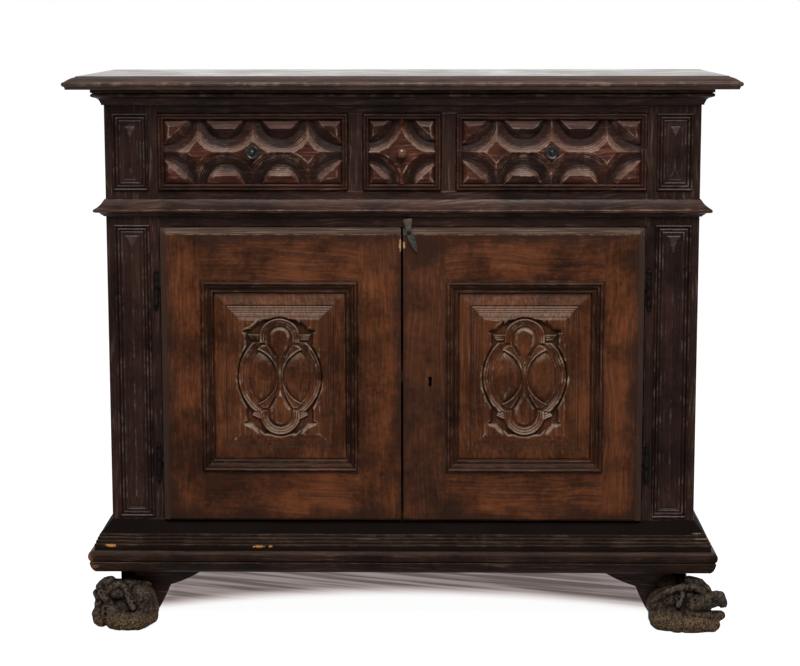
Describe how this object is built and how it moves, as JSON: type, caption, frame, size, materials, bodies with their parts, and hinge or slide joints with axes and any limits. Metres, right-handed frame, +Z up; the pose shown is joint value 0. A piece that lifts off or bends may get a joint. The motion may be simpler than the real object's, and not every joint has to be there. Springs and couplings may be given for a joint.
{
  "type": "credenza",
  "caption": "Low walnut cupboard with panelled doors, carved drawers under a moulded top, mitred mouldings and lion-paw feet.",
  "frame": {"origin": "on the floor, under the middle of the whole piece", "axes": "+Z up, +X along the width to the right as seen from the front, front to -Y"},
  "size_m": [1.256, 0.488, 1.062],
  "materials": {
    "walnut_dark": "old dark wax, worn on the edges",
    "walnut_door": "warm waxed walnut with grain",
    "walnut_red": "waxed carved walnut, reddish on the raised parts",
    "paw_walnut": "dry dark wood, worn bare near the floor",
    "plain_wood": "plain unfinished inside wood",
    "iron": "old dark wrought iron",
    "bronze": "dull greenish bronze"
  },
  "bodies": {
    "carcass": {"top_board": "walnut_dark", "cornice_front": "walnut_dark", "cornice_left": "walnut_dark", "cornice_right": "walnut_dark", "frieze_rail": "walnut_dark", "waist_rail": "walnut_dark", "door_sill_rail": "walnut_dark", "drawer_dividers": "walnut_dark", "waist_moulding_front": "walnut_dark", "waist_moulding_left": "walnut_dark", "waist_moulding_right": "walnut_dark", "post_front_left": "walnut_dark", "post_front_right": "walnut_dark", "pilaster_panel_upper_left": "walnut_dark", "pilaster_panel_upper_right": "walnut_dark", "pilaster_panel_lower_left": "walnut_dark", "pilaster_panel_lower_right": "walnut_dark", "side_rails_left": "walnut_dark", "side_rails_right": "walnut_dark", "side_panels_left": "walnut_dark", "side_panels_right": "walnut_dark", "plinth_front": "walnut_dark", "plinth_left": "walnut_dark", "plinth_right": "walnut_dark", "paw_foot_left": "paw_walnut", "paw_foot_right": "paw_walnut", "back_feet": "paw_walnut", "back_posts": "plain_wood", "back_boards": "plain_wood", "floor_board": "plain_wood", "shelf": "plain_wood", "shelf_cleats": "plain_wood", "dust_board": "plain_wood", "drawer_guides": "plain_wood", "hinge_hooks": "iron"},
    "left_door": {"left_door_hinge_stile": "walnut_door", "left_door_meeting_stile": "walnut_door", "left_door_rails": "walnut_door", "left_door_moulding": "walnut_dark", "left_door_panel": "walnut_door", "left_door_hinge_knuckles": "iron"},
    "right_door": {"right_door_hinge_stile": "walnut_door", "right_door_meeting_stile": "walnut_door", "right_door_rails": "walnut_door", "right_door_moulding": "walnut_dark", "right_door_panel": "walnut_door", "right_door_hinge_knuckles": "iron", "lock_case": "iron", "turn_button_screw": "iron"},
    "lock_bolt": {"lock_bolt": "iron"},
    "turn_button": {"turn_button": "bronze"},
    "left_drawer": {"left_drawer_front": "walnut_red", "left_drawer_box": "plain_wood", "left_drawer_knob": "iron"},
    "center_drawer": {"center_drawer_front": "walnut_red", "center_drawer_box": "plain_wood", "center_drawer_knob": "walnut_red"},
    "right_drawer": {"right_drawer_front": "walnut_red", "right_drawer_box": "plain_wood", "right_drawer_knob": "iron"}
  },
  "joints": [
    {"name": "left_door_swing", "type": "hinge", "parent": "carcass", "child": "left_door", "pos_m": [-0.467, -0.1815, 0.49], "axis": [0, 0, -1], "range_deg": [0, 110]},
    {"name": "right_door_swing", "type": "hinge", "parent": "carcass", "child": "right_door", "pos_m": [0.467, -0.1815, 0.49], "axis": [0, 0, 1], "range_deg": [0, 110]},
    {"name": "lock_bolt_slide", "type": "slide", "parent": "right_door", "child": "lock_bolt", "axis": [-1, 0, 0], "range_m": [0, 0.014]},
    {"name": "turn_button_turn", "type": "hinge", "parent": "right_door", "child": "turn_button", "pos_m": [0.013, -0.192, 0.769], "axis": [0, 1, 0], "range_deg": [-60, 110]},
    {"name": "left_drawer_slide", "type": "slide", "parent": "carcass", "child": "left_drawer", "axis": [0, -1, 0], "range_m": [0, 0.3]},
    {"name": "center_drawer_slide", "type": "slide", "parent": "carcass", "child": "center_drawer", "axis": [0, -1, 0], "range_m": [0, 0.3]},
    {"name": "right_drawer_slide", "type": "slide", "parent": "carcass", "child": "right_drawer", "axis": [0, -1, 0], "range_m": [0, 0.3]}
  ]
}
